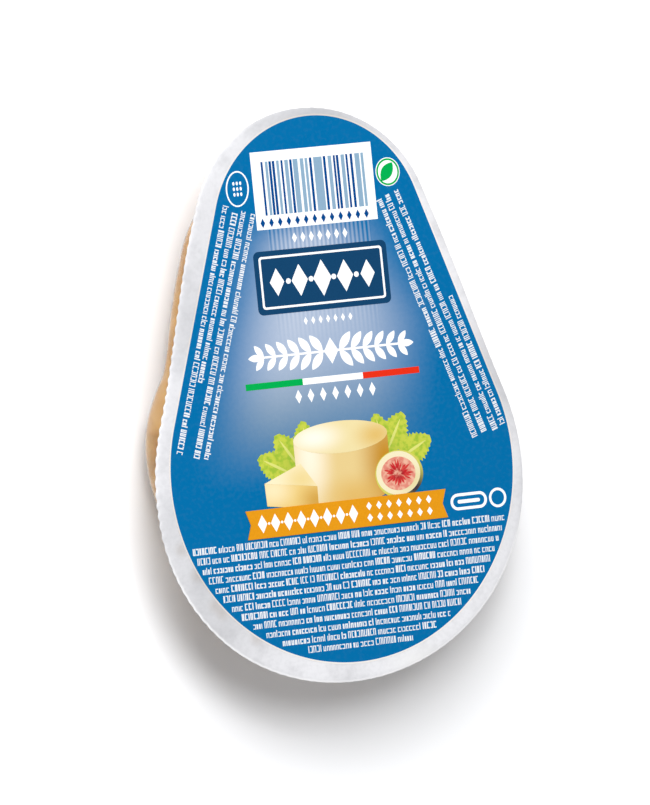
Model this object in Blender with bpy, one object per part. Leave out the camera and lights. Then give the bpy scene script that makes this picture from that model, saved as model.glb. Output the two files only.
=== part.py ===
"""Sealed pack of smoked scamorza, lying on its filled side with the lid up.

A deep-drawn lower film holds the pear-shaped cheese, and a flat lid film closes it.
Both films share one wavy die-cut rim. Metres, +Z up, the cheese's head towards +Y,
the origin at the bottom centre of the pack's box.
"""

import math

import bmesh
import bpy

MM = 0.001

# Lid print: two round ends joined by straight sides.
BODY_RADIUS = 52.5 * MM
HEAD_RADIUS = 32.1 * MM
BODY_Y = -18.6 * MM
HEAD_Y = 46.5 * MM

# Rim beyond the print: its mean width, then waves as (waves a turn, height, place of a crest).
RIM_WIDTH = 4.4 * MM
RIM_WAVES = (
    (1, 1.90 * MM, 0.86),
    (2, 0.33 * MM, 0.06),
    (3, 0.65 * MM, 0.27),
    (4, 0.72 * MM, 0.125),
)

# Pocket seen from above: a round body and a tapering head that meet at a pinched neck.
POCKET_BODY_HALF_WIDTH = 51.1 * MM
POCKET_BODY_Y = -10.6 * MM
POCKET_BODY_UP = 47.0 * MM
POCKET_BODY_DOWN = 50.3 * MM
POCKET_INSET = 0.4 * MM
POCKET_HEAD_RADIUS = 35.1 * MM
POCKET_HEAD_Y = 35.65 * MM
POCKET_MIDDLE_Y = 5.0 * MM

# Pocket seen from the side: a boxy dome, flat where it rests, grooved round the neck.
DOME_DEPTH = 36.2 * MM
REST_DEPTH = 35.0 * MM
DOME_POWER = 3.45
NECK_Y = 14.3 * MM
NECK_HALF_WIDTH = 12.4 * MM
NECK_GROOVE = 0.14

# Films and the hair gap between them.
FLANGE_THICKNESS = 0.6 * MM
LID_THICKNESS = 0.5 * MM
GAP = 0.3 * MM

RIM_POINTS = 120
WALL_RINGS = 9
WALL_ANGLE = math.radians(65)
FLOOR_RINGS = 8
SMOOTH_ANGLE = math.radians(40)

TAPER = math.asin((BODY_RADIUS - HEAD_RADIUS) / (HEAD_Y - BODY_Y))


def clear_scene():
    for obj in list(bpy.data.objects):
        bpy.data.objects.remove(obj, do_unlink=True)


def print_edge(turn):
    """The point of the print's edge at this share of a turn from the foot, and its outward normal."""
    body_arc = (math.pi / 2 + TAPER) * BODY_RADIUS
    side = (HEAD_Y - BODY_Y) * math.cos(TAPER)
    head_arc = (math.pi / 2 - TAPER) * HEAD_RADIUS
    half = body_arc + side + head_arc
    mirror = 1 if turn <= 0.5 else -1
    along = 2 * half * (turn if turn <= 0.5 else 1 - turn)
    if along < body_arc:
        angle = along / BODY_RADIUS - math.pi / 2
        centre, radius, slide = BODY_Y, BODY_RADIUS, 0.0
    elif along < body_arc + side:
        angle = TAPER
        centre, radius, slide = BODY_Y, BODY_RADIUS, along - body_arc
    else:
        angle = TAPER + (along - body_arc - side) / HEAD_RADIUS
        centre, radius, slide = HEAD_Y, HEAD_RADIUS, 0.0
    normal = (mirror * math.cos(angle), math.sin(angle))
    x = mirror * (radius * math.cos(angle) - slide * math.sin(TAPER))
    y = centre + radius * math.sin(angle) + slide * math.cos(TAPER)
    return (x, y), normal


def rim_outline():
    """The wavy die-cut edge that both films share, about the print's own axis."""
    points = []
    for i in range(RIM_POINTS):
        turn = i / RIM_POINTS
        (x, y), normal = print_edge(turn)
        width = RIM_WIDTH
        for waves, height, crest in RIM_WAVES:
            width += height * math.cos(2 * math.pi * waves * (turn - crest))
        points.append((x + width * normal[0], y + width * normal[1]))
    return points


def box_centre(points):
    xs = [x for x, y in points]
    ys = [y for x, y in points]
    return (min(xs) + max(xs)) / 2, (min(ys) + max(ys)) / 2


def pocket_half_width(y):
    """How far the pocket's opening reaches to each side at this y, or 0 beyond its ends."""
    reach = POCKET_BODY_UP if y > POCKET_BODY_Y else POCKET_BODY_DOWN
    body = POCKET_BODY_HALF_WIDTH * math.sqrt(max(0.0, 1 - ((y - POCKET_BODY_Y) / reach) ** 2))
    if y < POCKET_MIDDLE_Y:
        return body
    if y < POCKET_HEAD_Y + POCKET_HEAD_RADIUS * math.sin(TAPER):
        slope = (y - BODY_Y) * math.sin(TAPER)
        head = (BODY_RADIUS - POCKET_INSET - slope) / math.cos(TAPER)
    else:
        head = math.sqrt(max(0.0, POCKET_HEAD_RADIUS**2 - (y - POCKET_HEAD_Y) ** 2))
    return max(body, head)


def pocket_reach(x, y):
    """The distance from the pocket's middle to its opening's edge, towards (x, y)."""
    far = math.hypot(x, y - POCKET_MIDDLE_Y)
    step_x, step_y = x / far, (y - POCKET_MIDDLE_Y) / far
    inside, outside = 0.0, far
    for _ in range(40):
        middle = (inside + outside) / 2
        if abs(step_x * middle) < pocket_half_width(POCKET_MIDDLE_Y + step_y * middle):
            inside = middle
        else:
            outside = middle
    return inside


def dome_spreads():
    """How wide each ring of the dome is, from 1 at the opening: close on the wall, even on the floor."""
    wall = [math.cos(i * WALL_ANGLE / WALL_RINGS) ** (2 / DOME_POWER) for i in range(WALL_RINGS)]
    floor = math.cos(WALL_ANGLE) ** (2 / DOME_POWER)
    return wall + [floor * (1 - i / FLOOR_RINGS) for i in range(FLOOR_RINGS)]


def dome_ring(rim, spread):
    """The ring of the dome at this share of the opening's width."""
    depth = DOME_DEPTH * (1 - spread**DOME_POWER) ** (1 / DOME_POWER)
    ring = []
    for x, y in rim:
        far = math.hypot(x, y - POCKET_MIDDLE_Y)
        reach = spread * pocket_reach(x, y) / far
        here_x, here_y = reach * x, POCKET_MIDDLE_Y + reach * (y - POCKET_MIDDLE_Y)
        groove = NECK_GROOVE * math.exp(-(((here_y - NECK_Y) / NECK_HALF_WIDTH) ** 2))
        ring.append((here_x, here_y, REST_DEPTH - min(REST_DEPTH, depth * (1 - groove))))
    return ring


def bridge(bm, first, second):
    """Quads between two closed rings of equal length."""
    count = len(first)
    for i in range(count):
        j = (i + 1) % count
        bm.faces.new((first[i], first[j], second[j], second[i]))


def finish_object(name, bm, material, parent):
    bmesh.ops.recalc_face_normals(bm, faces=bm.faces)
    mesh = bpy.data.meshes.new(name)
    bm.to_mesh(mesh)
    bm.free()
    mesh.shade_smooth()
    mesh.set_sharp_from_angle(angle=SMOOTH_ANGLE)
    mesh.materials.append(material)
    obj = bpy.data.objects.new(name, mesh)
    obj.parent = parent
    bpy.context.collection.objects.link(obj)


def add_rings(bm, rings, shift):
    """Vertices for each ring, moved so that the pack's box is centred on the origin."""
    return [[bm.verts.new((x - shift[0], y - shift[1], z)) for x, y, z in ring] for ring in rings]


def make_filled_pocket(rim, shift, parent):
    """The lower film with the cheese that fills it: a flange plate and the dome below it."""
    top = REST_DEPTH + FLANGE_THICKNESS
    rings = [
        [(x, y, top) for x, y in rim],
        [(x, y, REST_DEPTH) for x, y in rim],
    ]
    rings += [dome_ring(rim, spread) for spread in dome_spreads()]
    bm = bmesh.new()
    made = add_rings(bm, rings, shift)
    for first, second in zip(made, made[1:]):
        bridge(bm, first, second)
    bm.faces.new(made[0])
    bm.faces.new(made[-1])
    colour = (0.62, 0.37, 0.16, 1.0)
    material = make_material("smoked_cheese_in_film", colour, 0.35)
    finish_object("filled_pocket", bm, material, parent)


def make_lid_film(rim, shift, parent):
    """The flat lid film, a hair above the flange."""
    low = REST_DEPTH + FLANGE_THICKNESS + GAP
    rings = [[(x, y, z) for x, y in rim] for z in (low, low + LID_THICKNESS)]
    bm = bmesh.new()
    bottom, top = add_rings(bm, rings, shift)
    bridge(bm, bottom, top)
    bm.faces.new(bottom)
    bm.faces.new(top)
    material = make_material("lid_film", (0.01, 0.16, 0.40, 1.0), 0.3)
    finish_object("lid_film", bm, material, parent)


def make_material(name, colour, roughness):
    material = bpy.data.materials.new(name)
    material.use_nodes = True
    shader = material.node_tree.nodes["Principled BSDF"]
    shader.inputs["Base Color"].default_value = colour
    shader.inputs["Roughness"].default_value = roughness
    shader.inputs["Metallic"].default_value = 0.0
    return material


def main():
    clear_scene()
    pack = bpy.data.objects.new("scamorza_pack", None)
    bpy.context.collection.objects.link(pack)
    rim = rim_outline()
    shift = box_centre(rim)
    make_filled_pocket(rim, shift, pack)
    make_lid_film(rim, shift, pack)


main()
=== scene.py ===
"""Looks of a sealed pack of smoked scamorza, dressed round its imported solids.

A clear lower film is drawn tight over the cheese, and a printed lid film is sealed to its frosted
rim. The print is thin plates of colour on the lid. Lengths are in millimetres until a mesh is made,
and places on the print are measured from its own axis, as in the part.
"""

import math
import random

import bmesh
import bpy
from mathutils import Euler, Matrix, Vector, noise


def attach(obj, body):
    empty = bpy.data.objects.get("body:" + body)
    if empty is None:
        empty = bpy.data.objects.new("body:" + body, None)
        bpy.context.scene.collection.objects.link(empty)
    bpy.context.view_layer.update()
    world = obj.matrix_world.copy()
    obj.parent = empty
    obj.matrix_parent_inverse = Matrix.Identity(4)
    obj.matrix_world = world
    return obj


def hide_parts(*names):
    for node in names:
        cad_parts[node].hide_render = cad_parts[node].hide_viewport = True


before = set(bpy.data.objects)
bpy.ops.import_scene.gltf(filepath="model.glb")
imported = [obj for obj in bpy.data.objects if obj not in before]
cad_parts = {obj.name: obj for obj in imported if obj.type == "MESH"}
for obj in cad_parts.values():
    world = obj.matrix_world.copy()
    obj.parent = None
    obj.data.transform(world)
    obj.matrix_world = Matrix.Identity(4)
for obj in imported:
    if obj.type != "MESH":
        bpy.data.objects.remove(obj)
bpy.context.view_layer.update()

MM = 0.001

# The part's own sizes: the print's outline, the rim beyond it and the pocket below it.
BODY_RADIUS = 52.5
HEAD_RADIUS = 32.1
BODY_Y = -18.6
HEAD_Y = 46.5
RIM_WIDTH = 4.4
RIM_WAVES = ((1, 1.90, 0.86), (2, 0.33, 0.06), (3, 0.65, 0.27), (4, 0.72, 0.125))
PART_RIM_POINTS = 120
POCKET_BODY_HALF_WIDTH = 51.1
POCKET_BODY_Y = -10.6
POCKET_BODY_UP = 47.0
POCKET_BODY_DOWN = 50.3
POCKET_INSET = 0.4
POCKET_HEAD_RADIUS = 35.1
POCKET_HEAD_Y = 35.65
POCKET_MIDDLE_Y = 5.0
POCKET_HALVINGS = 40
DOME_DEPTH = 36.2
REST_DEPTH = 35.0
DOME_POWER = 3.45
NECK_Y = 14.3
NECK_HALF_WIDTH = 12.4
NECK_GROOVE = 0.14
TAPER = math.asin((BODY_RADIUS - HEAD_RADIUS) / (HEAD_Y - BODY_Y))

# Heights of the films and of the print, which rises in steps too thin to see.
FLANGE_LOW = 35.30
FLANGE_TOP = 35.62
LID_LOW = 35.66
LID_TOP = 36.02
GROUND_TOP = 36.07
PRINT_STEP = 0.036
OVERLAP_STEP = 0.005
OVERLAP_LEVELS = 5

# The cut edges: how far inside the rim's line each of their rings lies, and how far below the
# lid's top for the lid, or at what height for the flange.
LID_ROLL = ((2.0, 0.0), (1.3, 0.03), (0.8, 0.08), (0.42, 0.16), (0.18, 0.25), (0.05, 0.34))
LID_TUCK = 0.1
FLANGE_EDGE = ((0.25, FLANGE_TOP), (0.12, FLANGE_TOP - 0.08),
               (0.15, FLANGE_LOW + 0.06), (0.35, FLANGE_LOW))
FLANGE_OPENING = 0.995

# Small uneven waves of the cut edge, which are highest on the left side.
RIM_POINTS = 960
RIM_LENGTH = 2 * math.pi * BODY_RADIUS + 150
SCALLOP_LENGTH = 3.3
SCALLOP_HEIGHT = 0.17
SCALLOP_LEAST = 0.12
SCALLOP_MIDDLE = 0.73
SCALLOP_SPREAD = 0.14
SCALLOP_DRIFT = 0.35
SCALLOP_DRIFT_PACE = 0.35
SCALLOP_CHANGE_PACE = 0.2

# How far outside the print's edge the blue ground ends, and the pale line round it.
GROUND_EDGE = 0.13
EDGE_LINE_END = 0.56

# Camera: it looks down on the lid, from the left of square. Its far limit is in metres.
CAMERA_YAW = math.radians(27.2)
CAMERA_PITCH = math.radians(0.87)
CAMERA_ROLL = math.radians(-5.75)
CAMERA_TARGET = (-2.80, -2.02, 36.4)
CAMERA_DISTANCE = 2418.0
CAMERA_LENS = 395.8
CAMERA_FAR = 20.0
SENSOR_WIDTH = 36.0

# How bright the light is on a level white surface, where 1 shows as pure white.
LIGHT_LEVEL = 1.25


def colour(red, green, blue):
    """The colour that shows as these 0 to 255 screen values when it lies level in this light."""
    def linear(value):
        """The sRGB curve, undone."""
        value /= 255
        return value / 12.92 if value <= 0.04045 else ((value + 0.055) / 1.055) ** 2.4
    return tuple(linear(value) / LIGHT_LEVEL for value in (red, green, blue)) + (1.0,)


# -------- outlines

def print_edge(turn, out):
    """The point this far outside the print's edge, at this share of a turn from the foot."""
    body_arc = (math.pi / 2 + TAPER) * BODY_RADIUS
    side = (HEAD_Y - BODY_Y) * math.cos(TAPER)
    head_arc = (math.pi / 2 - TAPER) * HEAD_RADIUS
    half = body_arc + side + head_arc
    mirror = 1 if turn <= 0.5 else -1
    along = 2 * half * (turn if turn <= 0.5 else 1 - turn)
    if along < body_arc:
        angle = along / BODY_RADIUS - math.pi / 2
        centre, radius, slide = BODY_Y, BODY_RADIUS, 0.0
    elif along < body_arc + side:
        angle = TAPER
        centre, radius, slide = BODY_Y, BODY_RADIUS, along - body_arc
    else:
        angle = TAPER + (along - body_arc - side) / HEAD_RADIUS
        centre, radius, slide = HEAD_Y, HEAD_RADIUS, 0.0
    x = (radius + out) * math.cos(angle) - slide * math.sin(TAPER)
    y = centre + (radius + out) * math.sin(angle) + slide * math.cos(TAPER)
    return mirror * x, y


def inside_print(x, y, margin):
    """Whether the point lies inside the print's edge by at least this margin."""
    share = (y - BODY_Y - abs(x) * math.tan(TAPER)) * math.cos(TAPER) ** 2 / (HEAD_Y - BODY_Y)
    share = min(1.0, max(0.0, share))
    centre = BODY_Y + share * (HEAD_Y - BODY_Y)
    radius = BODY_RADIUS + share * (HEAD_RADIUS - BODY_RADIUS)
    return math.hypot(x, y - centre) < radius - margin


def rim_width(turn):
    """How wide the rim is beyond the print, at this share of a turn."""
    waves = (height * math.cos(2 * math.pi * count * (turn - crest)) for count, height, crest in RIM_WAVES)
    return RIM_WIDTH + sum(waves)


def part_shift():
    """The centre of the part's box, which its outline is moved by."""
    turns = [i / PART_RIM_POINTS for i in range(PART_RIM_POINTS)]
    points = [print_edge(turn, rim_width(turn)) for turn in turns]
    xs, ys = zip(*points)
    return (min(xs) + max(xs)) / 2, (min(ys) + max(ys)) / 2


SHIFT_X, SHIFT_Y = part_shift()


def scallop(turn):
    """The small uneven waves of the cut edge, which never reach past the part's outline."""
    place = turn * RIM_LENGTH / SCALLOP_LENGTH
    # The noise is read along two unrelated rows.
    drift = SCALLOP_DRIFT * noise.noise(Vector((place * SCALLOP_DRIFT_PACE, 2.7, 0.0)))
    change = noise.noise(Vector((place * SCALLOP_CHANGE_PACE, 9.1, 0.0)))
    left_side = math.exp(-(((turn - SCALLOP_MIDDLE) / SCALLOP_SPREAD) ** 2))
    height = SCALLOP_HEIGHT * (SCALLOP_LEAST + (1 - SCALLOP_LEAST) * left_side) * (1 + change)
    return height * (math.cos(2 * math.pi * (place + drift)) - 1)


def rim_line(inset):
    """A line this far inside the rim's cut edge."""
    turns = [i / RIM_POINTS for i in range(RIM_POINTS)]
    return [print_edge(turn, rim_width(turn) + scallop(turn) - inset) for turn in turns]


def print_line(out):
    """A line this far outside the print's edge."""
    return [print_edge(i / RIM_POINTS, out) for i in range(RIM_POINTS)]


def turned(x, y, along, across, angle):
    """The point this far from (x, y) along the angle, and this far to its left."""
    return (x + along * math.cos(angle) - across * math.sin(angle),
            y + along * math.sin(angle) + across * math.cos(angle))


def ellipse(x, y, half_width, half_height=None, tilt=0.0, points=64):
    half_height = half_width if half_height is None else half_height
    angles = [2 * math.pi * i / points for i in range(points)]
    return [turned(x, y, half_width * math.cos(a), half_height * math.sin(a), tilt) for a in angles]


def box_shape(left, bottom, right, top):
    return [(left, bottom), (right, bottom), (right, top), (left, top)]


def round_box(left, bottom, right, top, radius, steps=8):
    corners = ((right - radius, bottom + radius), (right - radius, top - radius),
               (left + radius, top - radius), (left + radius, bottom + radius))
    found = []
    for quarter, (x, y) in enumerate(corners):
        for i in range(steps + 1):
            angle = math.pi / 2 * (quarter - 1 + i / steps)
            found.append((x + radius * math.cos(angle), y + radius * math.sin(angle)))
    return found


def leaf_shape(x, y, length, width, angle, points=14):
    """A pointed oval that starts at (x, y) and runs along the angle."""
    found = []
    for side in (1, -1):
        for i in range(points):
            share = i / points if side == 1 else 1 - i / points
            across = side * width / 2 * math.sin(math.pi * share) ** 0.8
            found.append(turned(x, y, share * length, across, angle))
    return found[::-1]


def lozenge(x, y, half_width, half_height):
    return [(x - half_width, y), (x, y - half_height), (x + half_width, y), (x, y + half_height)]


# -------- the pocket

def pocket_half_width(y):
    """How far the pocket's opening reaches to each side at this y, or 0 beyond its ends."""
    reach = POCKET_BODY_UP if y > POCKET_BODY_Y else POCKET_BODY_DOWN
    body = POCKET_BODY_HALF_WIDTH * math.sqrt(max(0.0, 1 - ((y - POCKET_BODY_Y) / reach) ** 2))
    if y < POCKET_MIDDLE_Y:
        return body
    if y < POCKET_HEAD_Y + POCKET_HEAD_RADIUS * math.sin(TAPER):
        slope = (y - BODY_Y) * math.sin(TAPER)
        head = (BODY_RADIUS - POCKET_INSET - slope) / math.cos(TAPER)
    else:
        head = math.sqrt(max(0.0, POCKET_HEAD_RADIUS**2 - (y - POCKET_HEAD_Y) ** 2))
    return max(body, head)


def pocket_reach(step_x, step_y):
    """The distance from the pocket's middle to its opening's edge, in this direction."""
    inside, outside = 0.0, 2 * BODY_RADIUS
    for _ in range(POCKET_HALVINGS):
        middle = (inside + outside) / 2
        if abs(step_x * middle) < pocket_half_width(POCKET_MIDDLE_Y + step_y * middle):
            inside = middle
        else:
            outside = middle
    return inside


def pocket_spokes(points):
    """Directions from the pocket's middle towards the rim, each with its reach."""
    spokes = []
    for i in range(points):
        turn = i / points
        x, y = print_edge(turn, rim_width(turn))
        far = math.hypot(x, y - POCKET_MIDDLE_Y)
        step_x, step_y = x / far, (y - POCKET_MIDDLE_Y) / far
        spokes.append((step_x, step_y, pocket_reach(step_x, step_y)))
    return spokes


def dome_line(spokes, spread):
    """The ring of the dome at this share of the opening's width, as (x, y, z)."""
    depth = DOME_DEPTH * (1 - spread**DOME_POWER) ** (1 / DOME_POWER)
    ring = []
    for step_x, step_y, reach in spokes:
        x, y = spread * reach * step_x, POCKET_MIDDLE_Y + spread * reach * step_y
        groove = NECK_GROOVE * math.exp(-(((y - NECK_Y) / NECK_HALF_WIDTH) ** 2))
        ring.append((x, y, REST_DEPTH - min(REST_DEPTH, depth * (1 - groove))))
    return ring


# -------- meshes

def add_ring(bm, points):
    """Vertices for a ring of (x, y, z) on the print's axis, moved to the part's frame."""
    return [bm.verts.new(((x - SHIFT_X) * MM, (y - SHIFT_Y) * MM, z * MM)) for x, y, z in points]


def bridge(bm, first, second):
    """Quads between two rings of as many points."""
    count = len(first)
    for i in range(count):
        j = (i + 1) % count
        bm.faces.new((first[i], first[j], second[j], second[i]))


def bridge_all(bm, rings, closed):
    """Quads from each ring to the next one, and from the last to the first where it is closed."""
    following = rings[1:] + rings[:1] if closed else rings[1:]
    for first, second in zip(rings, following):
        bridge(bm, first, second)


def at_height(points, z):
    return [(x, y, z) for x, y in points]


def add_plate(bm, outline, top, low):
    """A closed plate with this outline."""
    upper, lower = add_ring(bm, at_height(outline, top)), add_ring(bm, at_height(outline, low))
    bm.faces.new(upper)
    bm.faces.new(lower[::-1])
    bridge(bm, lower, upper)


def add_band(bm, outer, inner, top, low):
    """A closed plate between two outlines of as many points."""
    lines = ((outer, top), (inner, top), (inner, low), (outer, low))
    bridge_all(bm, [add_ring(bm, at_height(line, z)) for line, z in lines], closed=True)


def make_piece(name, bm, material, replaces=(), smooth=None):
    """An object from the mesh, riding on the pack."""
    bmesh.ops.recalc_face_normals(bm, faces=bm.faces)
    mesh = bpy.data.meshes.new(name)
    bm.to_mesh(mesh)
    bm.free()
    if smooth is not None:
        mesh.shade_smooth()
        mesh.set_sharp_from_angle(angle=math.radians(smooth))
    mesh.materials.append(material)
    piece = bpy.data.objects.new(name, mesh)
    bpy.context.scene.collection.objects.link(piece)
    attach(piece, "root")
    if replaces:
        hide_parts(*replaces)
    return piece


def make_print(name, level, material, plates=(), bands=()):
    """Flat print: plates and bands of one colour, at a level above the blue ground.

    Plates that overlap differ in height by a hair, so that no two faces lie in one plane.
    """
    bm = bmesh.new()
    top = GROUND_TOP + level * PRINT_STEP
    low = GROUND_TOP - PRINT_STEP / 2
    for i, outline in enumerate(plates):
        drop = OVERLAP_STEP * (1 + i % OVERLAP_LEVELS) if i else 0.0
        add_plate(bm, outline, top - drop, low)
    for outer, inner in bands:
        add_band(bm, outer, inner, top, low)
    return make_piece(name, bm, material)


# -------- materials

# Where a mix node has its sockets for colours, and the values between which most noise lies.
MIX_COLOURS = (6, 7)
MIX_RESULT = 2
RAMP_SOCKETS = ("From Min", "From Max", "To Min", "To Max")
NOISE_RANGE = (0.3, 0.7)


class Shader:
    """A material with one Principled shader, and short ways to add nodes to it."""

    def __init__(self, name, base, roughness, specular):
        self.material = bpy.data.materials.new(name)
        self.material.use_nodes = True
        self.nodes = self.material.node_tree.nodes
        self.links = self.material.node_tree.links
        self.shader = self.nodes["Principled BSDF"]
        self.set("Base Color", base)
        self.set("Roughness", roughness)
        self.set("Specular IOR Level", specular)
        self.place = self.nodes.new("ShaderNodeTexCoord").outputs["Object"]

    def set(self, socket, value):
        self.shader.inputs[socket].default_value = value

    def link(self, output, socket):
        self.links.new(output, self.shader.inputs[socket])

    def noise(self, size, detail=3.0, stretch=(1, 1, 1)):
        """Noise whose blotches are about this many millimetres across."""
        mapping = self.nodes.new("ShaderNodeMapping")
        mapping.inputs["Scale"].default_value = stretch
        self.links.new(self.place, mapping.inputs["Vector"])
        texture = self.nodes.new("ShaderNodeTexNoise")
        texture.inputs["Scale"].default_value = 1 / (size * MM)
        texture.inputs["Detail"].default_value = detail
        self.links.new(mapping.outputs["Vector"], texture.inputs["Vector"])
        return texture.outputs["Fac"]

    def ramp(self, value, low, high, to_low=0.0, to_high=1.0):
        """A smooth step from to_low, where the value is low, to to_high, where it is high."""
        node = self.nodes.new("ShaderNodeMapRange")
        node.interpolation_type = "SMOOTHSTEP"
        for socket, number in zip(RAMP_SOCKETS, (low, high, to_low, to_high)):
            node.inputs[socket].default_value = number
        self.links.new(value, node.inputs["Value"])
        return node.outputs["Result"]

    def vary(self, size, low, high, detail=3.0, stretch=(1, 1, 1)):
        """Noise that runs from low to high."""
        return self.ramp(self.noise(size, detail, stretch), *NOISE_RANGE, low, high)

    def math(self, operation, *values):
        node = self.nodes.new("ShaderNodeMath")
        node.operation = operation
        for socket, value in zip(node.inputs, values):
            if isinstance(value, (int, float)):
                socket.default_value = value
            else:
                self.links.new(value, socket)
        return node.outputs["Value"]

    def mix(self, share, first, second):
        node = self.nodes.new("ShaderNodeMix")
        node.data_type = "RGBA"
        self.links.new(share, node.inputs["Factor"])
        for place, value in zip(MIX_COLOURS, (first, second)):
            if isinstance(value, tuple):
                node.inputs[place].default_value = value
            else:
                self.links.new(value, node.inputs[place])
        return node.outputs[MIX_RESULT]

    def print_place(self):
        """Where the point lies on the print, across and up, and how high, in millimetres."""
        split = self.nodes.new("ShaderNodeSeparateXYZ")
        self.links.new(self.place, split.inputs["Vector"])
        return [self.math("MULTIPLY_ADD", split.outputs[axis], 1 / MM, shift)
                for axis, shift in (("X", SHIFT_X), ("Y", SHIFT_Y), ("Z", 0.0))]

    def glow(self, x, y, half_width, half_height, height):
        """A soft spot on the print, from this height at its middle down to 0."""
        mapping = self.nodes.new("ShaderNodeMapping")
        mapping.vector_type = "TEXTURE"
        mapping.inputs["Location"].default_value = ((x - SHIFT_X) * MM, (y - SHIFT_Y) * MM, LID_TOP * MM)
        mapping.inputs["Scale"].default_value = (half_width * MM, half_height * MM, 1.0)
        self.links.new(self.place, mapping.inputs["Vector"])
        texture = self.nodes.new("ShaderNodeTexGradient")
        texture.gradient_type = "SPHERICAL"
        self.links.new(mapping.outputs["Vector"], texture.inputs["Vector"])
        return self.ramp(texture.outputs["Fac"], 0.0, 1.0, 0.0, height)

    def spots(self, tone, marks):
        """The tone with soft spots over it, each (x, y, half width, half height, strength, colour)."""
        for x, y, half_width, half_height, strength, over in marks:
            tone = self.mix(self.glow(x, y, half_width, half_height, strength), tone, over)
        return tone

    def bump(self, height, distance, strength=1.0):
        node = self.nodes.new("ShaderNodeBump")
        node.inputs["Distance"].default_value = distance * MM
        node.inputs["Strength"].default_value = strength
        self.links.new(height, node.inputs["Height"])
        self.link(node.outputs["Normal"], "Normal")


def ink_shader(name, base):
    """Ink under a gloss film, which is uneven in its sheen and slightly wavy."""
    made = Shader(name, base, roughness=0.3, specular=0.06)
    made.link(made.vary(9.0, 0.24, 0.38), "Roughness")
    made.bump(made.noise(14.0, 2.0), 0.12)
    return made


def print_shader(name, base, darker=0.94):
    """Ink of one colour, faintly mottled with a darker shade of it."""
    made = ink_shader(name, base)
    shade = tuple(channel * darker for channel in base[:3]) + (1.0,)
    mottle = made.ramp(made.noise(0.5, 2.0), 0.35, 0.65)
    made.link(made.mix(mottle, base, shade), "Base Color")
    return made


# The haze on the blue: its middle line leans, each side has its own half width, it is weaker to
# the right, and it fades out below the picture's middle and behind the code box.
HAZE_MIDDLE = -6.0
HAZE_LEAN = 0.1
HAZE_LEFT_WIDTH = 23.3
HAZE_LEFT_NARROWING = 0.23
HAZE_RIGHT_WIDTHS = (27.0, 12.0)
HAZE_RIGHT_NARROWS = (16.0, 50.0)
HAZE_SIDE_FADE = 13.5
HAZE_FOOT = (-24.0, 26.0)
HAZE_HEAD = (43.0, 55.0)
HAZE_TILT = 0.011
HAZE_TILT_START = -14.0
HAZE_LOW_TONE = (-12.0, 16.0)
HAZE_MOTTLE = 0.012
# The stripes: their pitch, where they end at the sides, the foot and the head, and their strength.
STRIPE_PITCH = 1.295
STRIPE_SIDES = (15.6, 15.9)
STRIPE_FOOT = (11.0, 44.0)
STRIPE_HEAD = (50.0, 52.0)
STRIPE_STRENGTH = 0.42


def blue_shader():
    """The blue ground, with a lavender haze down its middle that holds fine upright stripes."""
    blue, haze, low_haze = colour(0, 109, 168), colour(187, 199, 219), colour(186, 193, 187)
    made = ink_shader("blue_print", blue)
    x, y, _ = made.print_place()
    middle = made.math("MULTIPLY_ADD", y, HAZE_LEAN, HAZE_MIDDLE)
    left_width = made.math("MULTIPLY_ADD", y, -HAZE_LEFT_NARROWING, HAZE_LEFT_WIDTH)
    right_width = made.ramp(y, *HAZE_RIGHT_NARROWS, *HAZE_RIGHT_WIDTHS)
    aside = made.math("SUBTRACT", x, middle)
    is_right = made.math("GREATER_THAN", aside, 0.0)
    wider = made.math("MULTIPLY", is_right, made.math("SUBTRACT", right_width, left_width))
    half_width = made.math("ADD", left_width, wider)
    beyond = made.math("SUBTRACT", made.math("ABSOLUTE", aside), half_width)
    tilt = made.math("MULTIPLY_ADD", x, -HAZE_TILT, 1 + HAZE_TILT * HAZE_TILT_START)
    amount = made.ramp(beyond, -HAZE_SIDE_FADE, HAZE_SIDE_FADE, 1.0, 0.0)
    for factor in (made.ramp(y, *HAZE_FOOT), made.ramp(y, *HAZE_HEAD, 1.0, 0.0), tilt):
        amount = made.math("MULTIPLY", amount, factor)
    wave = made.nodes.new("ShaderNodeTexWave")
    wave.bands_direction = "X"
    # At a scale of 1, this texture's bands are pi / 10 apart.
    wave.inputs["Scale"].default_value = 1 / (STRIPE_PITCH * MM) * math.pi / 10
    made.links.new(made.place, wave.inputs["Vector"])
    within = made.ramp(made.math("ABSOLUTE", x), *STRIPE_SIDES, 1.0, 0.0)
    upright = made.math("MULTIPLY", made.ramp(y, *STRIPE_FOOT, 0.0, STRIPE_STRENGTH),
                        made.ramp(y, *STRIPE_HEAD, 1.0, 0.0))
    strength = made.math("MULTIPLY", within, upright)
    stripes = made.math("MULTIPLY", made.math("SUBTRACT", wave.outputs["Fac"], 0.5), strength)
    mottle = made.vary(1.2, -HAZE_MOTTLE, HAZE_MOTTLE)
    amount = made.math("ADD", made.math("ADD", amount, stripes), mottle)
    tone = made.mix(made.ramp(y, *HAZE_LOW_TONE), low_haze, haze)
    made.link(made.mix(amount, blue, tone), "Base Color")
    return made


# Where along the pack the painted light on the rind's foot fades out, how strong it is, and where the
# head's tone begins.
FOOT_PAINTED_LIGHT = (-40.0, -10.0)
FOOT_PAINTED_LIGHT_STRENGTH = 0.5
RIND_HEAD = (0.0, 24.0)


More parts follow.
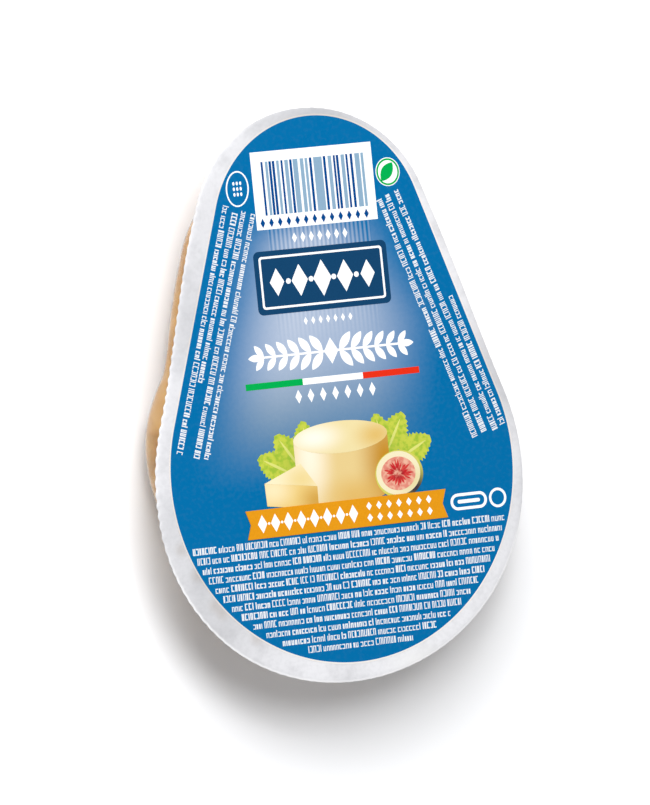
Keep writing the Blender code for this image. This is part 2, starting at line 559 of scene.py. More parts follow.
def cheese_shader():
    """Smoked rind: tan, browner in patches, more golden at the head, and paler at the foot as painted
    light.
    """
    light, dark = colour(198, 155, 96), colour(178, 131, 74)
    head_light, head_dark = colour(200, 149, 75), colour(184, 132, 62)
    # The pale foot tone is painted light: it lifts the rind where it lies in shade low down.
    foot = colour(236, 203, 160)
    made = Shader("smoked_rind", light, roughness=0.6, specular=0.12)
    patches = made.ramp(made.noise(16.0, 4.0), 0.35, 0.68)
    fine = made.vary(2.2, -0.28, 0.28, 5.0, (1.0, 1.0, 0.5))
    share = made.math("ADD", patches, fine)
    y = made.print_place()[1]
    body, head = made.mix(share, light, dark), made.mix(share, head_light, head_dark)
    body = made.mix(made.ramp(y, *FOOT_PAINTED_LIGHT, FOOT_PAINTED_LIGHT_STRENGTH, 0.0), body, foot)
    made.link(made.mix(made.ramp(y, *RIND_HEAD), body, head), "Base Color")
    made.link(made.vary(5.0, 0.5, 0.7), "Roughness")
    made.set("Subsurface Weight", 0.25)
    made.set("Subsurface Radius", (1.0, 0.55, 0.25))
    made.set("Subsurface Scale", 2.5 * MM)
    made.bump(made.noise(1.6, 4.0), 0.08, 0.6)
    return made


def clear_shader():
    """Clear film with a faint haze."""
    made = Shader("clear_film", (0.97, 0.965, 0.96, 1.0), roughness=0.14, specular=0.2)
    made.set("Transmission Weight", 1.0)
    made.set("IOR", 1.06)
    made.link(made.vary(7.0, 0.03, 0.1), "Roughness")
    made.bump(made.noise(5.0, 3.0), 0.1, 0.5)
    return made


# Where the rim is greyer than its milky tone, partly uneven frosting and partly painted shade,
# as (x, y, half width, half height, strength).
RIM_GREYS_AND_SHADE = (
    (4.0, 79.5, 40.0, 26.0, 0.62),
    (49.5, 3.5, 20.0, 26.0, 0.45),
    (52.0, -33.0, 20.0, 40.0, 0.14),
    (-43.0, 27.0, 20.0, 20.0, 0.35),
    (-34.0, 52.0, 24.0, 30.0, 0.18),
    (-44.0, -52.0, 34.0, 40.0, 0.42),
    (-54.5, -28.0, 14.0, 14.0, 0.22),
    (-50.0, 12.0, 42.0, 90.0, 0.15),
    (-46.5, -43.5, 5.0, 9.0, 0.3),
)
# A painted highlight where the rim is whiter, near the foot on the right, in the same form.
RIM_PAINTED_HIGHLIGHT = (19.0, -73.5, 17.0, 6.5, 0.8)
# Faint brown marks in the seal near the print's edge, and each mark's half sizes and strength.
RIM_MARKS = ((-51.3, -35.2), (-47.3, -42.6), (-43.0, -51.3), (-41.0, -53.6), (-31.3, -61.4))
RIM_MARK = (3.2, 3.2, 0.34)
# Where the cut edge gets a painted highlight: along the pack, and how near the lid's top.
PAINTED_GLINT_FOOT = (-50.0, -28.0)
PAINTED_GLINT_EDGE = (LID_TOP - 0.2, LID_TOP - 0.07)


def rim_shader(name, painted_glint=0.0):
    """Both films sealed together: frosted, milky and faintly creased.

    Towards the foot, the cut edge is paler, as a painted highlight, by the share that the second argument
    gives. Its grey spots are partly painted shade, and its white spot is a painted highlight.
    """
    milk, grey, brown = colour(247, 247, 251), colour(176, 177, 181), colour(178, 164, 150)
    made = Shader(name, milk, roughness=0.4, specular=0.35)
    clouds = made.ramp(made.noise(9.0, 4.0), 0.42, 0.75, 0.0, 0.28)
    fine = made.ramp(made.noise(1.1, 3.0), 0.35, 0.7, -0.03, 0.09)
    tone = made.mix(made.math("ADD", clouds, fine), milk, grey)
    # Grey spots on the rim: partly uneven frosting, partly painted shade.
    tone = made.spots(tone, [mark + (grey,) for mark in RIM_GREYS_AND_SHADE])
    tone = made.spots(tone, [place + RIM_MARK + (brown,) for place in RIM_MARKS])
    # A painted highlight: a white spot near the foot on the right.
    tone = made.spots(tone, [RIM_PAINTED_HIGHLIGHT + (colour(255, 255, 255),)])
    # Painted highlight: the rolled cut edge towards the foot is mixed towards white.
    _, y, height = made.print_place()
    foot_highlight_share = made.ramp(y, *PAINTED_GLINT_FOOT, painted_glint, 0.0)
    edge_highlight_share = made.ramp(height, *PAINTED_GLINT_EDGE, 1.0, 0.0)
    tone = made.mix(made.math("MULTIPLY", foot_highlight_share, edge_highlight_share), tone, (0.95, 0.95, 0.96, 1.0))
    made.link(tone, "Base Color")
    made.link(made.vary(3.0, 0.3, 0.5), "Roughness")
    made.set("Alpha", 0.9)
    creases = made.math("ADD", made.noise(2.4, 3.0), made.math("MULTIPLY", made.noise(0.5, 2.0), 0.3))
    made.bump(creases, 0.18, 0.8)
    return made


def edge_line_shader():
    """The bare line round the print: a warmer white than the rim, and greyer where the rim is, partly as
    painted shade.
    """
    base, grey = colour(243, 238, 234), colour(196, 186, 176)
    made = ink_shader("edge_line_print", base)
    made.link(made.spots(base, [mark + (grey,) for mark in RIM_GREYS_AND_SHADE]), "Base Color")
    return made


# -------- films and cheese

# Edges that turn by more than this many degrees stay sharp.
FLAT_SMOOTH = 35
DOME_SMOOTH = 50


def make_lid_film(material):
    """The lid film: a flat sheet whose cut edge rolls down onto the flange."""
    bm = bmesh.new()
    rings = [add_ring(bm, at_height(rim_line(inset), LID_TOP - drop)) for inset, drop in LID_ROLL]
    rings.append(add_ring(bm, at_height(rim_line(LID_TUCK), LID_LOW)))
    bridge_all(bm, rings, closed=False)
    bm.faces.new(rings[0])
    bm.faces.new(rings[-1])
    make_piece("lid_film_sheet", bm, material, ("lid_film",), FLAT_SMOOTH)


def make_flange(material):
    """The lower film's flat flange, from the pocket's opening to the cut edge."""
    opening = [(x, y) for x, y, _ in dome_line(pocket_spokes(RIM_POINTS), FLANGE_OPENING)]
    lines = [(opening, FLANGE_TOP)]
    lines += [(rim_line(inset), height) for inset, height in FLANGE_EDGE]
    lines.append((opening, FLANGE_LOW))
    bm = bmesh.new()
    bridge_all(bm, [add_ring(bm, at_height(line, height)) for line, height in lines], closed=True)
    make_piece("flange_film", bm, material, ("filled_pocket",), FLAT_SMOOTH)


DOME_POINTS = 300
DOME_WALL_RINGS = 26
DOME_WALL_ANGLE = math.radians(72)
DOME_FLOOR_RINGS = 30
FILM_THICKNESS = 0.08
CHEESE_INSET = 0.2
LUMP_SIZE = 15
LUMP_HEIGHT = 0.1
GRAIN_SIZE = 4
GRAIN_HEIGHT = 0.03
PACK_MIDDLE = Vector((0, 0, 20 * MM))


def dome_spreads():
    """How wide each ring of the dome is, from 1 at the opening: close on the wall, even on the floor."""
    step = DOME_WALL_ANGLE / DOME_WALL_RINGS
    wall = [math.cos(i * step) ** (2 / DOME_POWER) for i in range(DOME_WALL_RINGS)]
    floor = math.cos(DOME_WALL_ANGLE) ** (2 / DOME_POWER)
    return wall + [floor * (1 - i / DOME_FLOOR_RINGS) for i in range(DOME_FLOOR_RINGS)]


def dome_mesh():
    """The pocket's skin as an open mesh, and its rings from the opening down."""
    bm = bmesh.new()
    spokes = pocket_spokes(DOME_POINTS)
    rings = [add_ring(bm, dome_line(spokes, spread)) for spread in dome_spreads()]
    bridge_all(bm, rings, closed=False)
    tip = bm.verts.new((-SHIFT_X * MM, (POCKET_MIDDLE_Y - SHIFT_Y) * MM, rings[-1][0].co.z))
    count = len(rings[-1])
    for i in range(count):
        bm.faces.new((rings[-1][i], rings[-1][(i + 1) % count], tip))
    bmesh.ops.recalc_face_normals(bm, faces=bm.faces)
    return bm, rings


def relief(place):
    """How much deeper the cheese's surface lies here: soft lumps with a finer grain."""
    lumps = noise.noise(place / (LUMP_SIZE * MM)) * LUMP_HEIGHT
    grain = noise.noise(place / (GRAIN_SIZE * MM) + Vector((5, 0, 0))) * GRAIN_HEIGHT
    return lumps + grain


def outward_normals(bm):
    """The mesh's vertex normals, turned to point away from the pack's middle."""
    bm.normal_update()
    lead = max(bm.verts, key=lambda vert: vert.co.x)
    sign = 1 if lead.normal.dot(lead.co - PACK_MIDDLE) > 0 else -1
    return [vert.normal * sign for vert in bm.verts]


def make_cheese(material):
    """The smoked cheese, which fills the pocket up to the lid."""
    bm, rings = dome_mesh()
    for vert, normal in zip(list(bm.verts), outward_normals(bm)):
        vert.co -= normal * (CHEESE_INSET + relief(vert.co)) * MM
    lid = bm.faces.new(rings[0])
    bmesh.ops.triangulate(bm, faces=[lid])
    make_piece("smoked_cheese", bm, material, ("filled_pocket",), DOME_SMOOTH)


def make_clear_film(material):
    """The deep-drawn lower film, a thin closed skin over the cheese."""
    bm, rings = dome_mesh()
    inner = {}
    for vert, normal in zip(list(bm.verts), outward_normals(bm)):
        inner[vert] = bm.verts.new(vert.co - normal * FILM_THICKNESS * MM)
    for face in list(bm.faces):
        bm.faces.new([inner[vert] for vert in reversed(face.verts)])
    bridge(bm, rings[0], [inner[vert] for vert in rings[0]])
    piece = make_piece("clear_film_skin", bm, material, ("filled_pocket",), DOME_SMOOTH)
    piece.visible_shadow = False


# -------- print

def make_ground(blue, edge_white):
    """The blue ground, and the thin pale line round it."""
    inner, outer = print_line(GROUND_EDGE), print_line(EDGE_LINE_END)
    make_print("blue_ground", 0, blue, plates=[inner])
    make_print("white_edge_line", 0, edge_white, bands=[(outer, inner)])


# Boxes are (left, bottom, right, top), and sizes of lozenges and ellipses are halves.
CODE_BOX = (-18.9, 48.8, 18.35, 70.1)
CODE_BARS = (-15.9, 52.6, 15.9, 67.3)
DARK_BAR_SHARE = 0.42
DARK_BAR_WIDTHS = (0.62, 0.75)
PALE_BAR_WIDTHS = (0.8, 1.1, 1.5, 2.0, 2.6)
BAR_GAPS = (0.3, 0.4, 0.55, 0.7)
BAR_ROOM = 0.5
CODE_ROW = (-17.0, 15.0, 50.6)
CODE_ROW_COUNT = 13
CODE_ROW_SIZE = (0.72, 1.3)


def make_code_box(white, pale, dark):
    """A white box with plain upright bars of seeded widths over a row of small lozenges."""
    make_print("code_box", 1, white, plates=[box_shape(*CODE_BOX)])
    draw = random.Random(4)
    left, bottom, right, top = CODE_BARS
    bars = {True: [], False: []}
    x = left
    while x < right - BAR_ROOM:
        is_dark = draw.random() < DARK_BAR_SHARE
        width = draw.choice(DARK_BAR_WIDTHS if is_dark else PALE_BAR_WIDTHS)
        end = min(x + width, right)
        bars[is_dark].append(box_shape(x, bottom, end, top))
        x = end + draw.choice(BAR_GAPS)
    make_print("code_bars_pale", 2, pale, plates=bars[False])
    start, end, y = CODE_ROW
    row = [lozenge(start + (end - start) * i / (CODE_ROW_COUNT - 1), y, *CODE_ROW_SIZE)
           for i in range(CODE_ROW_COUNT)]
    make_print("code_bars_dark", 2, dark, plates=bars[True] + row)


OVAL = (-23.7, 60.6)
OVAL_SIZES = ((3.5, 4.9), (3.1, 4.5))
OVAL_TILT = math.radians(-6)
OVAL_DOT_PITCH = (1.05, 1.5)
OVAL_DOT_SIZE = (0.32, 0.5)
ROUND_MARK = (22.8, 61.4)
ROUND_RIM_SIZE = (3.75, 3.95)
ROUND_RING_SIZES = ((3.5, 3.7), (3.0, 3.2))
ROUND_LEAF = (20.6, 59.0, 6.2, 3.4, math.radians(52))


def make_round_marks(white, green):
    """A plain oval ring round dots, and a leaf in a ring, on both sides of the code box."""
    x, y = OVAL
    pitch_x, pitch_y = OVAL_DOT_PITCH
    dots = [ellipse(x + pitch_x * across, y + pitch_y * up, *OVAL_DOT_SIZE)
            for across in (-1, 0, 1) for up in (-1, 0, 1)]
    make_print("oval_ring", 1, white, plates=dots,
               bands=[[ellipse(x, y, *size, OVAL_TILT) for size in OVAL_SIZES]])
    make_print("round_mark_rim", 1, white, plates=[ellipse(*ROUND_MARK, *ROUND_RIM_SIZE)])
    make_print("round_mark_leaf", 2, green, plates=[leaf_shape(*ROUND_LEAF)],
               bands=[[ellipse(*ROUND_MARK, *size) for size in ROUND_RING_SIZES]])


NAVY_BAND = (-21.0, 25.6, 20.0, 43.0)
NAVY_CORNER = 1.6
# The white frame line's outer and inner edges, as (how far inside the band, corner radius).
NAVY_LINE = ((1.5, 0.9), (2.1, 0.5))
NAVY_PITCH = 7.0
NAVY_SIZE = (2.8, 5.0)
NAVY_SHRINK = (0.3, 0.6)
NAVY_DOT = 0.75


def make_navy_band(navy, white):
    """A plain dark band with a thin white frame round a row of lozenges and dots."""
    left, bottom, right, top = NAVY_BAND
    make_print("navy_band", 1, navy, plates=[round_box(*NAVY_BAND, NAVY_CORNER)])
    line = [round_box(left + inset, bottom + inset, right - inset, top - inset, corner)
            for inset, corner in NAVY_LINE]
    x, y = (left + right) / 2, (bottom + top) / 2
    shapes = []
    for i in range(-2, 3):
        size = [full - less * abs(i) for full, less in zip(NAVY_SIZE, NAVY_SHRINK)]
        shapes.append(lozenge(x + NAVY_PITCH * i, y, *size))
    for i in range(-2, 2):
        shapes.append(ellipse(x + NAVY_PITCH * (i + 0.5), y, NAVY_DOT, points=24))
    make_print("navy_band_ornament", 2, white, plates=shapes, bands=[line])


# The garland: its ends and height on the print, its stem, its middle, its leaves, where the pairs
# begin and what they leave free, and the leaf at each end.
GARLAND = (-24.7, 24.6, 14.2)
STEM_GAP, STEM_SIZE = 2, 0.3
SPRIG_MIDDLE = (2.2, 3.6)
SPRIG_LEAF = (6.0, 2.5)
SPRIG_LEAN = math.radians(52)
SPRIG_SHRINK = 0.28
SPRIG_PAIRS = 6
FIRST_PAIR, PAIRS_SPARE = 2.6, 6.5
END_LEAF, END_LEAF_PLACE = (0.75, 0.8), 3.6


def garland_shapes():
    """A straight sprig that grows from its middle to both ends, with paired leaves."""
    left, right, y = GARLAND
    length, width = SPRIG_LEAF
    middle, half = (left + right) / 2, (right - left) / 2
    shapes = [box_shape(left + STEM_GAP, y - STEM_SIZE, right - STEM_GAP, y + STEM_SIZE),
              lozenge(middle, y, *SPRIG_MIDDLE)]
    for side, ahead in ((-1, math.pi), (1, 0)):
        for i in range(SPRIG_PAIRS):
            x = middle + side * (FIRST_PAIR + (half - PAIRS_SPARE) * i / (SPRIG_PAIRS - 1))
            size = 1 - SPRIG_SHRINK * i / (SPRIG_PAIRS - 1)
            for up in (-1, 1):
                angle = ahead + side * SPRIG_LEAN * up
                shapes.append(leaf_shape(x, y, length * size, width * size, angle))
        end = middle + side * (half - END_LEAF_PLACE)
        shapes.append(leaf_shape(end, y, length * END_LEAF[0], width * END_LEAF[1], ahead))
    return shapes


TRICOLOUR = (5.65, 7.4)
TRICOLOUR_ENDS = (-27.2, -9.7, 8.9, 26.4)
# Rows of lozenges in the places of short words, as (pitch, y, half width, half height).
WORD_ROWS = ((3.8, 2.6, 1.0, 1.9), (2.6, 45.9, 0.75, 1.4), (2.3, 23.0, 0.6, 1.1))


def make_titles(white, green, red):
    """Ornaments in the places of the words, over and under the three-coloured line."""
    make_print("title_garland", 1, white, plates=garland_shapes())
    low, high = TRICOLOUR
    parts = (("line_green", green, "lid_green"), ("line_white", white, "lid_white"),
             ("line_red", red, "lid_red"))
    for (name, material, slot), start, end in zip(parts, TRICOLOUR_ENDS, TRICOLOUR_ENDS[1:]):
        make_print(name, 1, material, plates=[box_shape(start, low, end, high)])
    lozenges = [lozenge(pitch * i, y, *size) for pitch, y, *size in WORD_ROWS for i in range(-3, 4)]
    make_print("small_lozenges", 1, white, plates=lozenges)


RIBBON = (-31.2, -34.75, 30.7, -26.9)
RIBBON_NOTCH = 1.3
# The ribbon's marks, as (the first one's x, pitch, count), with their sizes.
RIBBON_LARGE = (-26.4, 4.0, 8)
RIBBON_LARGE_SIZE = (1.42, 2.5)
RIBBON_DOTS = (-24.4, 4.0, 7)
RIBBON_DOT_SIZE = 0.36
RIBBON_SMALL = (6.6, 3.1, 7)
RIBBON_SMALL_SIZE = (0.85, 1.15)
RIBBON_SMALL_ROWS = (-1.6, 1.6)
# The weight's place: an outline and the bar in it, each with its corner radius, and a ring.
WEIGHT_OUTLINE = ((32.0, -33.2, 43.4, -28.6, 2.29), (32.8, -32.4, 42.6, -29.4, 1.49))
WEIGHT_BAR = (34.2, -31.4, 41.2, -30.4, 0.49)
WEIGHT_RING = (46.8, -30.9)
WEIGHT_RING_SIZES = (2.7, 2.0)


def places(first, pitch, count):
    return [first + pitch * i for i in range(count)]


def make_ribbon(orange, white):
    """The orange swallow-tailed ribbon with a row of plain ornaments, and the weight's place."""
    left, bottom, right, top = RIBBON
    middle = (bottom + top) / 2
    outline = [(left, bottom), (right, bottom), (right - RIBBON_NOTCH, middle), (right, top),
               (left, top), (left + RIBBON_NOTCH, middle)]
    make_print("ribbon", 8, orange, plates=[outline])
    large = [lozenge(x, middle, *RIBBON_LARGE_SIZE) for x in places(*RIBBON_LARGE)]
    dots = [ellipse(x, middle, RIBBON_DOT_SIZE, points=20) for x in places(*RIBBON_DOTS)]
    small = [lozenge(x, middle + up, *RIBBON_SMALL_SIZE)
             for x in places(*RIBBON_SMALL) for up in RIBBON_SMALL_ROWS]
    make_print("ribbon_ornament", 9, white, plates=large + dots + small)
    pill = [round_box(*box) for box in WEIGHT_OUTLINE]
    ring = [ellipse(*WEIGHT_RING, size, points=48) for size in WEIGHT_RING_SIZES]
    make_print("weight_place", 1, white, plates=[round_box(*WEIGHT_BAR)], bands=[pill, ring])


def stroke_shape(kind, wide, tall, pen):
    """The outline of one small mark of joined strokes, on its own foot."""
    x, y = wide - pen, tall - pen
    return {
        "stem": [(0, 0), (pen, 0), (pen, tall), (0, tall)],
        "arch": [(0, 0), (pen, 0), (pen, y), (x, y), (x, 0), (wide, 0), (wide, tall), (0, tall)],
        "cup": [(0, 0), (wide, 0), (wide, tall), (x, tall), (x, pen), (pen, pen), (pen, tall), (0, tall)],
        "left": [(0, 0), (wide, 0), (wide, pen), (pen, pen), (pen, y), (wide, y), (wide, tall), (0, tall)],
        "right": [(0, 0), (wide, 0), (wide, tall), (0, tall), (0, y), (x, y), (x, pen), (0, pen)],
        "block": [(0, 0), (wide, 0), (wide, tall), (0, tall)],
    }[kind]


STROKE_KINDS = ("stem", "stem", "arch", "arch", "cup", "left", "left", "right", "block")
PENS = (0.26, 0.26, 0.34)
MARK_WIDTHS = (0.72, 0.8, 0.86)
BLOCK_WIDTH = 0.5
MARK_GAPS = (0.18, 0.22, 0.26)
WORD_GAP = 0.45
WORD_ROOM = 1.2
LOW_MARK = 0.72


def small_marks(draw, start, end, height):
    """Word-like groups of plain marks from start to end, standing to the left of that way."""
    length = math.dist(start, end)
    along = ((end[0] - start[0]) / length, (end[1] - start[1]) / length)
    up = (-along[1], along[0])
    marks = []
    place = 0.0
    while place < length - WORD_ROOM:
        is_tall = draw.random() < 0.3
        pen = draw.choice(PENS)
        for _ in range(draw.randint(2, 9)):
            kind = draw.choice(STROKE_KINDS)
            wide = {"stem": pen, "block": BLOCK_WIDTH}.get(kind) or draw.choice(MARK_WIDTHS)
            rises = kind == "stem" and draw.random() < 0.5
            tall = height * (1.0 if is_tall or rises else LOW_MARK)
            if place + wide > length:
                break
            marks.append([(place + a, b) for a, b in stroke_shape(kind, wide, tall, pen)])
            place += wide + draw.choice(MARK_GAPS)
        place += WORD_GAP
    stretch = length / max(a for a, _ in marks[-1])
    return [[tuple(start[i] + a * stretch * along[i] + b * up[i] for i in (0, 1)) for a, b in mark]
            for mark in marks]


ROW_PITCH = 2.72
ROW_FIRST = -37.3
ROW_HEIGHT = 1.87
ROW_COUNT = 12
ROW_MARGIN = 0.8
ROW_REACH_STEP = 0.1
LAST_ROW_SHARE = 0.92
# Where each side column starts and ends: the left ones run down, and the right ones up.
COLUMNS = (((-28.5, 56.6), (-50.1, -9.2)), ((-26.0, 54.4), (-41.5, 9.5)),
           ((-23.1, 54.6), (-45.1, -10.8)), ((-20.3, 53.6), (-42.0, -11.4)),
           ((51.4, -10.6), (39.0, 26.0)), ((49.0, -11.9), (25.4, 56.4)),
           ((45.5, -12.1), (22.5, 55.4)), ((42.5, -13.3), (20.1, 54.3)))
COLUMN_HEIGHT = 1.8


def make_small_rows(white):
    """Rows of plain marks in the places of the small text."""
    draw = random.Random(21)
    rows = []
    for i in range(ROW_COUNT):
        y = ROW_FIRST - ROW_PITCH * i
        half = 0.0
        while inside_print(half, y, ROW_MARGIN):
            half += ROW_REACH_STEP
        if i == ROW_COUNT - 1:
            half *= LAST_ROW_SHARE
        rows += small_marks(draw, (-half, y), (half, y), ROW_HEIGHT)
    make_print("small_rows", 1, white, plates=rows)
    columns = []
    for start, end in COLUMNS:
        columns += small_marks(draw, start, end, COLUMN_HEIGHT)
    make_print("side_columns", 1, white, plates=columns)


LEAF_TEETH = 11
TOOTH_TIP = 0.11
TOOTH_NOTCH = -0.09
TOOTH_UNEVEN = 0.05
TOOTH_LEAN = 0.02


def ruffled_leaf(draw, x, y, length, width, angle):
    """A leaf from (x, y) along the angle, its edge cut into small uneven teeth."""
    points = []
    for side in (1, -1):
        for i in range(2 * LEAF_TEETH):
            share = (i + 0.5) / (2 * LEAF_TEETH)
            share = share if side == 1 else 1 - share
            tooth = TOOTH_TIP if i % 2 else TOOTH_NOTCH
            swing = 1.0 + tooth + draw.uniform(-TOOTH_UNEVEN, TOOTH_UNEVEN)
            along = share * length * (1 + TOOTH_LEAN * (i % 2))
            across = side * width / 2 * math.sin(math.pi * share ** 0.8) ** 0.7 * swing
            points.append(turned(x, y, along, across, angle))
    return points[::-1]


# The wheel: its middle, low and high edge, half width and how far its round top reaches up.
WHEEL = (0.0, -24.0, -9.5, 14.5, 4.4)
WEDGE_TOP = ((-24.5, -20.0), (-8.5, -22.2), (-13.0, -15.6))
WEDGE_SIDE = ((-24.5, -20.0), (-24.3, -26.2), (-8.7, -28.4), (-8.5, -22.2))
# The fruit, its skin's width and its flesh, and the seeds' count and ranges.
FRUIT = (17.0, -21.4, 7.4, 6.6)
FRUIT_SKIN = 0.6
FLESH_SHIFT = (-0.3, 0.2)
FLESH_SIZE = (5.3, 4.6)
SEEDS = 22
SEED_NEAR = (0.5, 1.6)
SEED_FAR = (3.0, 4.8)
SEED_WIDTH = (0.4, 0.75)
SEED_SQUASH = 0.87
# Each leaf's foot, length, width and angle in degrees.
LEAVES = ((-13, -17, 12, 8, 124), (-11, -15, 11, 7, 90), (-16, -18, 11, 8, 152),
          (14, -15, 12, 8, 60), (13, -15, 11, 7, 98), (18, -17, 11, 8, 26))


def picture_shaders():
    """The picture's tones, each shaded with soft spots as if the light came from the left."""
    tones = {
        "cream": (colour(233, 206, 142), (
            (-10.0, -14.0, 9.0, 20.0, 1.0, colour(254, 244, 220)),
            (13.5, -18.0, 11.0, 24.0, 1.0, colour(196, 138, 32)),
            (3.0, -26.0, 14.0, 8.0, 0.6, colour(222, 172, 70)))),
        "top": (colour(240, 223, 168), (
            (-8.0, -9.0, 12.0, 6.0, 1.0, colour(255, 250, 234)),
            (11.0, -10.0, 9.0, 6.0, 0.8, colour(226, 184, 92)))),
        "wedge": (colour(238, 206, 128), (
            (-22.0, -22.0, 9.0, 7.0, 1.0, colour(250, 232, 186)),
            (-9.0, -26.0, 8.0, 7.0, 0.8, colour(206, 152, 52)))),
        "wedge_top": (colour(250, 238, 198), ((-13.0, -20.0, 9.0, 7.0, 0.8, colour(238, 212, 138)),)),
        "skin": (colour(212, 208, 98), ((21.5, -25.5, 9.0, 8.0, 1.0, colour(62, 52, 66)),)),
        "pith": (colour(244, 234, 196), ((20.5, -23.5, 7.0, 6.0, 0.6, colour(222, 206, 140)),)),
        "flesh": (colour(226, 140, 122), ((16.4, -20.8, 5.0, 4.4, 0.9, colour(190, 62, 58)),)),
        "seed_red": (colour(200, 38, 44), ((16.6, -21.2, 2.6, 2.2, 1.0, colour(120, 22, 34)),)),
    }
    behind = ((0.0, -18.0, 24.0, 15.0, 0.9, colour(70, 124, 44)),)
    tones["leaf"] = (colour(200, 210, 76), behind)
    tones["vein"] = (colour(224, 226, 124), behind)
    speckles = {"flesh": colour(244, 196, 168), "seed_red": colour(228, 96, 84),
                "leaf": colour(142, 184, 52)}
    made = {}
    for name, (base, marks) in tones.items():
        shader = ink_shader("picture_" + name, base)
        tone = shader.spots(base, marks)
        if name in speckles:
            patches = shader.ramp(shader.noise(1.4, 3.0), 0.4, 0.68, 0.0, 0.75)
            tone = shader.mix(patches, tone, speckles[name])
        shader.link(tone, "Base Color")
        made[name] = shader.material
    return made


def lower_half(x, y, half_width, half_height, steps=24):
    """Points along the lower half of an ellipse, from left to right."""
    angles = (math.pi * (1 + i / steps) for i in range(steps + 1))
    return [(x + half_width * math.cos(a), y + half_height * math.sin(a)) for a in angles]


def make_picture():
    """A simple still life: a cheese wheel, its wedge, a cut round fruit and leaves."""
    made = picture_shaders()
    draw = random.Random(5)
    leaves, veins = [], []
    for x, y, length, width, turn in LEAVES:
        leaves.append(ruffled_leaf(draw, x, y, length, width, math.radians(turn)))
        veins.append(leaf_shape(x, y, 0.85 * length, 0.8, math.radians(turn)))
    make_print("picture_leaves", 1, made["leaf"], plates=leaves)
    make_print("picture_leaf_veins", 2, made["vein"], plates=veins)
    x, low, high, half, rise = WHEEL
    wheel = lower_half(x, low, half, rise) + [(x + half, high), (x - half, high)]
    wheel_top = ellipse(x, high, half, rise)
    x, y, half, tall = FRUIT
    rim = ellipse(x - 0.3, y + 0.3, half - FRUIT_SKIN, tall - FRUIT_SKIN)
    x, y = x + FLESH_SHIFT[0], y + FLESH_SHIFT[1]
    for name, level, tone, slot, outline in (
            ("wheel", 3, "cream", "lid_food", wheel),
            ("wheel_top", 4, "top", "lid_food", wheel_top),
            ("wedge_side", 4, "wedge", "lid_food", WEDGE_SIDE),
            ("wedge_top", 5, "wedge_top", "lid_food", WEDGE_TOP),
            ("fruit_skin", 4, "skin", "lid_food", ellipse(*FRUIT)),
            ("fruit_rim", 5, "pith", "lid_food", rim),
            ("fruit_flesh", 6, "flesh", "lid_red", ellipse(x, y, *FLESH_SIZE))):
        make_print("picture_" + name, level, made[tone], plates=[outline])
    seeds = []
    for i in range(SEEDS):
        turn = 2 * math.pi * i / SEEDS + draw.uniform(-0.1, 0.1)
        near, far = draw.uniform(*SEED_NEAR), draw.uniform(*SEED_FAR)
        start = (x + near * math.cos(turn), y + SEED_SQUASH * near * math.sin(turn))
        seeds.append(leaf_shape(*start, far - near, draw.uniform(*SEED_WIDTH), turn, 5))
    make_print("picture_fruit_seeds", 7, made["seed_red"], plates=seeds)


# -------- floor, light and camera

# How far the floor reaches, in metres, and how large its faint patches are.
FLOOR_REACH = 30.0
FLOOR_PATCH = 400.0
# The heights between which the surroundings grow dimmer, and how bright they are at both.
WORLD_HEIGHTS = (0.1, 0.8)
WORLD_LEVELS = (0.8, 0.28)
# Each lamp's name, place and width in metres, and power in watts.
LAMPS = (("key", (-0.368, 0.304, 1.272), 0.45, 8.9), ("top", (-0.477, 0.68, 1.076), 0.6, 11.8))


def make_floor():
    """A plain pale floor."""
    bm = bmesh.new()
    bmesh.ops.create_grid(bm, x_segments=2, y_segments=2, size=FLOOR_REACH)
    mesh = bpy.data.meshes.new("floor")
    bm.to_mesh(mesh)
    bm.free()
    pale, paler = (0.93, 0.94, 0.96, 1.0), (0.94, 0.95, 0.97, 1.0)
    made = Shader("floor", pale, roughness=0.9, specular=0.1)
    made.link(made.mix(made.noise(FLOOR_PATCH), paler, pale), "Base Color")
    mesh.materials.append(made.material)
    floor = bpy.data.objects.new("floor", mesh)
    bpy.context.scene.collection.objects.link(floor)


def make_world():
    """Soft studio surroundings: pale walls under a dimmer ceiling."""
    world = bpy.data.worlds.new("studio")
    world.use_nodes = True
    nodes, links = world.node_tree.nodes, world.node_tree.links
    split = nodes.new("ShaderNodeSeparateXYZ")
    links.new(nodes.new("ShaderNodeTexCoord").outputs["Generated"], split.inputs["Vector"])
    ramp = nodes.new("ShaderNodeMapRange")
    ramp.interpolation_type = "SMOOTHSTEP"
    for socket, value in zip(RAMP_SOCKETS, WORLD_HEIGHTS + WORLD_LEVELS):
        ramp.inputs[socket].default_value = value
    links.new(split.outputs["Z"], ramp.inputs["Value"])
    links.new(ramp.outputs["Result"], nodes["Background"].inputs["Strength"])
    nodes["Background"].inputs["Color"].default_value = (1.0, 1.0, 1.0, 1.0)
    bpy.context.scene.world = world


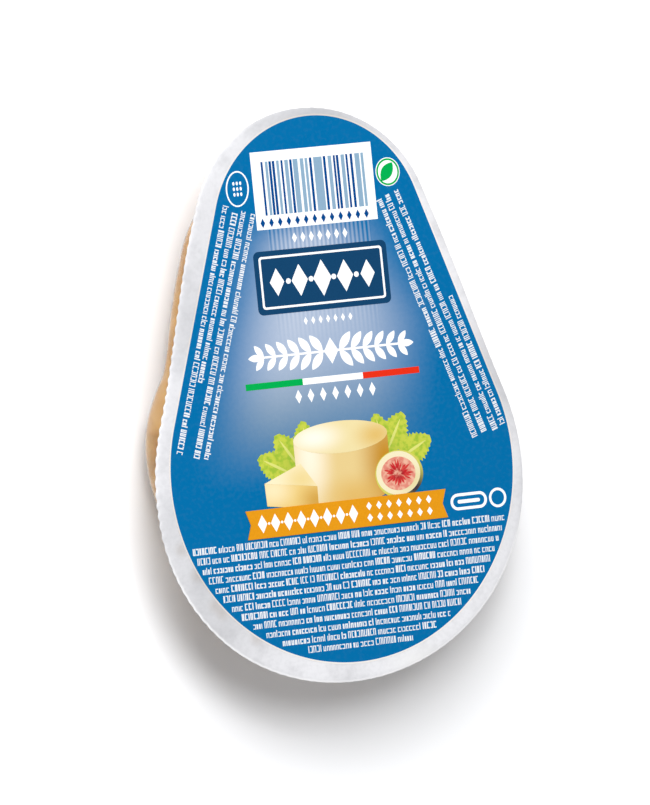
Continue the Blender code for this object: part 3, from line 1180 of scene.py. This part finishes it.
def make_light(name, place, size, power):
    """A round soft light that faces the pack."""
    light = bpy.data.lights.new(name, "AREA")
    light.shape = "DISK"
    light.size = size
    light.energy = power
    lamp = bpy.data.objects.new(name, light)
    lamp.location = place
    lamp.rotation_euler = (-Vector(place)).to_track_quat("-Z", "Y").to_euler()
    bpy.context.scene.collection.objects.link(lamp)


def make_camera():
    """The camera, turned about its target and set back from it."""
    data = bpy.data.cameras.new("camera")
    data.lens = CAMERA_LENS
    data.sensor_width = SENSOR_WIDTH
    data.clip_end = CAMERA_FAR
    camera = bpy.data.objects.new("camera", data)
    turn = Euler((0, -CAMERA_YAW, 0)).to_matrix() @ Euler((-CAMERA_PITCH, 0, 0)).to_matrix()
    turn = turn @ Euler((0, 0, CAMERA_ROLL)).to_matrix()
    camera.rotation_euler = turn.to_euler()
    camera.location = Vector(CAMERA_TARGET) * MM + turn @ Vector((0, 0, CAMERA_DISTANCE * MM))
    bpy.context.scene.collection.objects.link(camera)
    bpy.context.scene.camera = camera


def main():
    make_camera()
    make_world()
    for lamp in LAMPS:
        make_light(*lamp)
    make_floor()
    bpy.context.scene.view_settings.view_transform = "Standard"

    make_lid_film(rim_shader("sealed_rim", 0.6).material)
    make_flange(rim_shader("sealed_flange").material)
    make_cheese(cheese_shader().material)
    make_clear_film(clear_shader().material)

    white, green, red, navy, pale, dark, orange = (print_shader(*ink).material for ink in (
        ("white_print", (0.85, 0.855, 0.86, 1.0), 0.98),
        ("green_print", colour(0, 176, 80)),
        ("red_print", colour(236, 50, 24)),
        ("navy_print", colour(19, 68, 108)),
        ("pale_print", colour(143, 175, 200), 0.97),
        ("dark_blue_print", colour(0, 73, 142)),
        ("orange_print", colour(232, 155, 24))))
    make_ground(blue_shader().material, edge_line_shader().material)
    make_code_box(white, pale, dark)
    make_round_marks(white, green)
    make_navy_band(navy, white)
    make_titles(white, green, red)
    make_picture()
    make_ribbon(orange, white)
    make_small_rows(print_shader("small_print", colour(238, 241, 245), 0.98).material)


main()
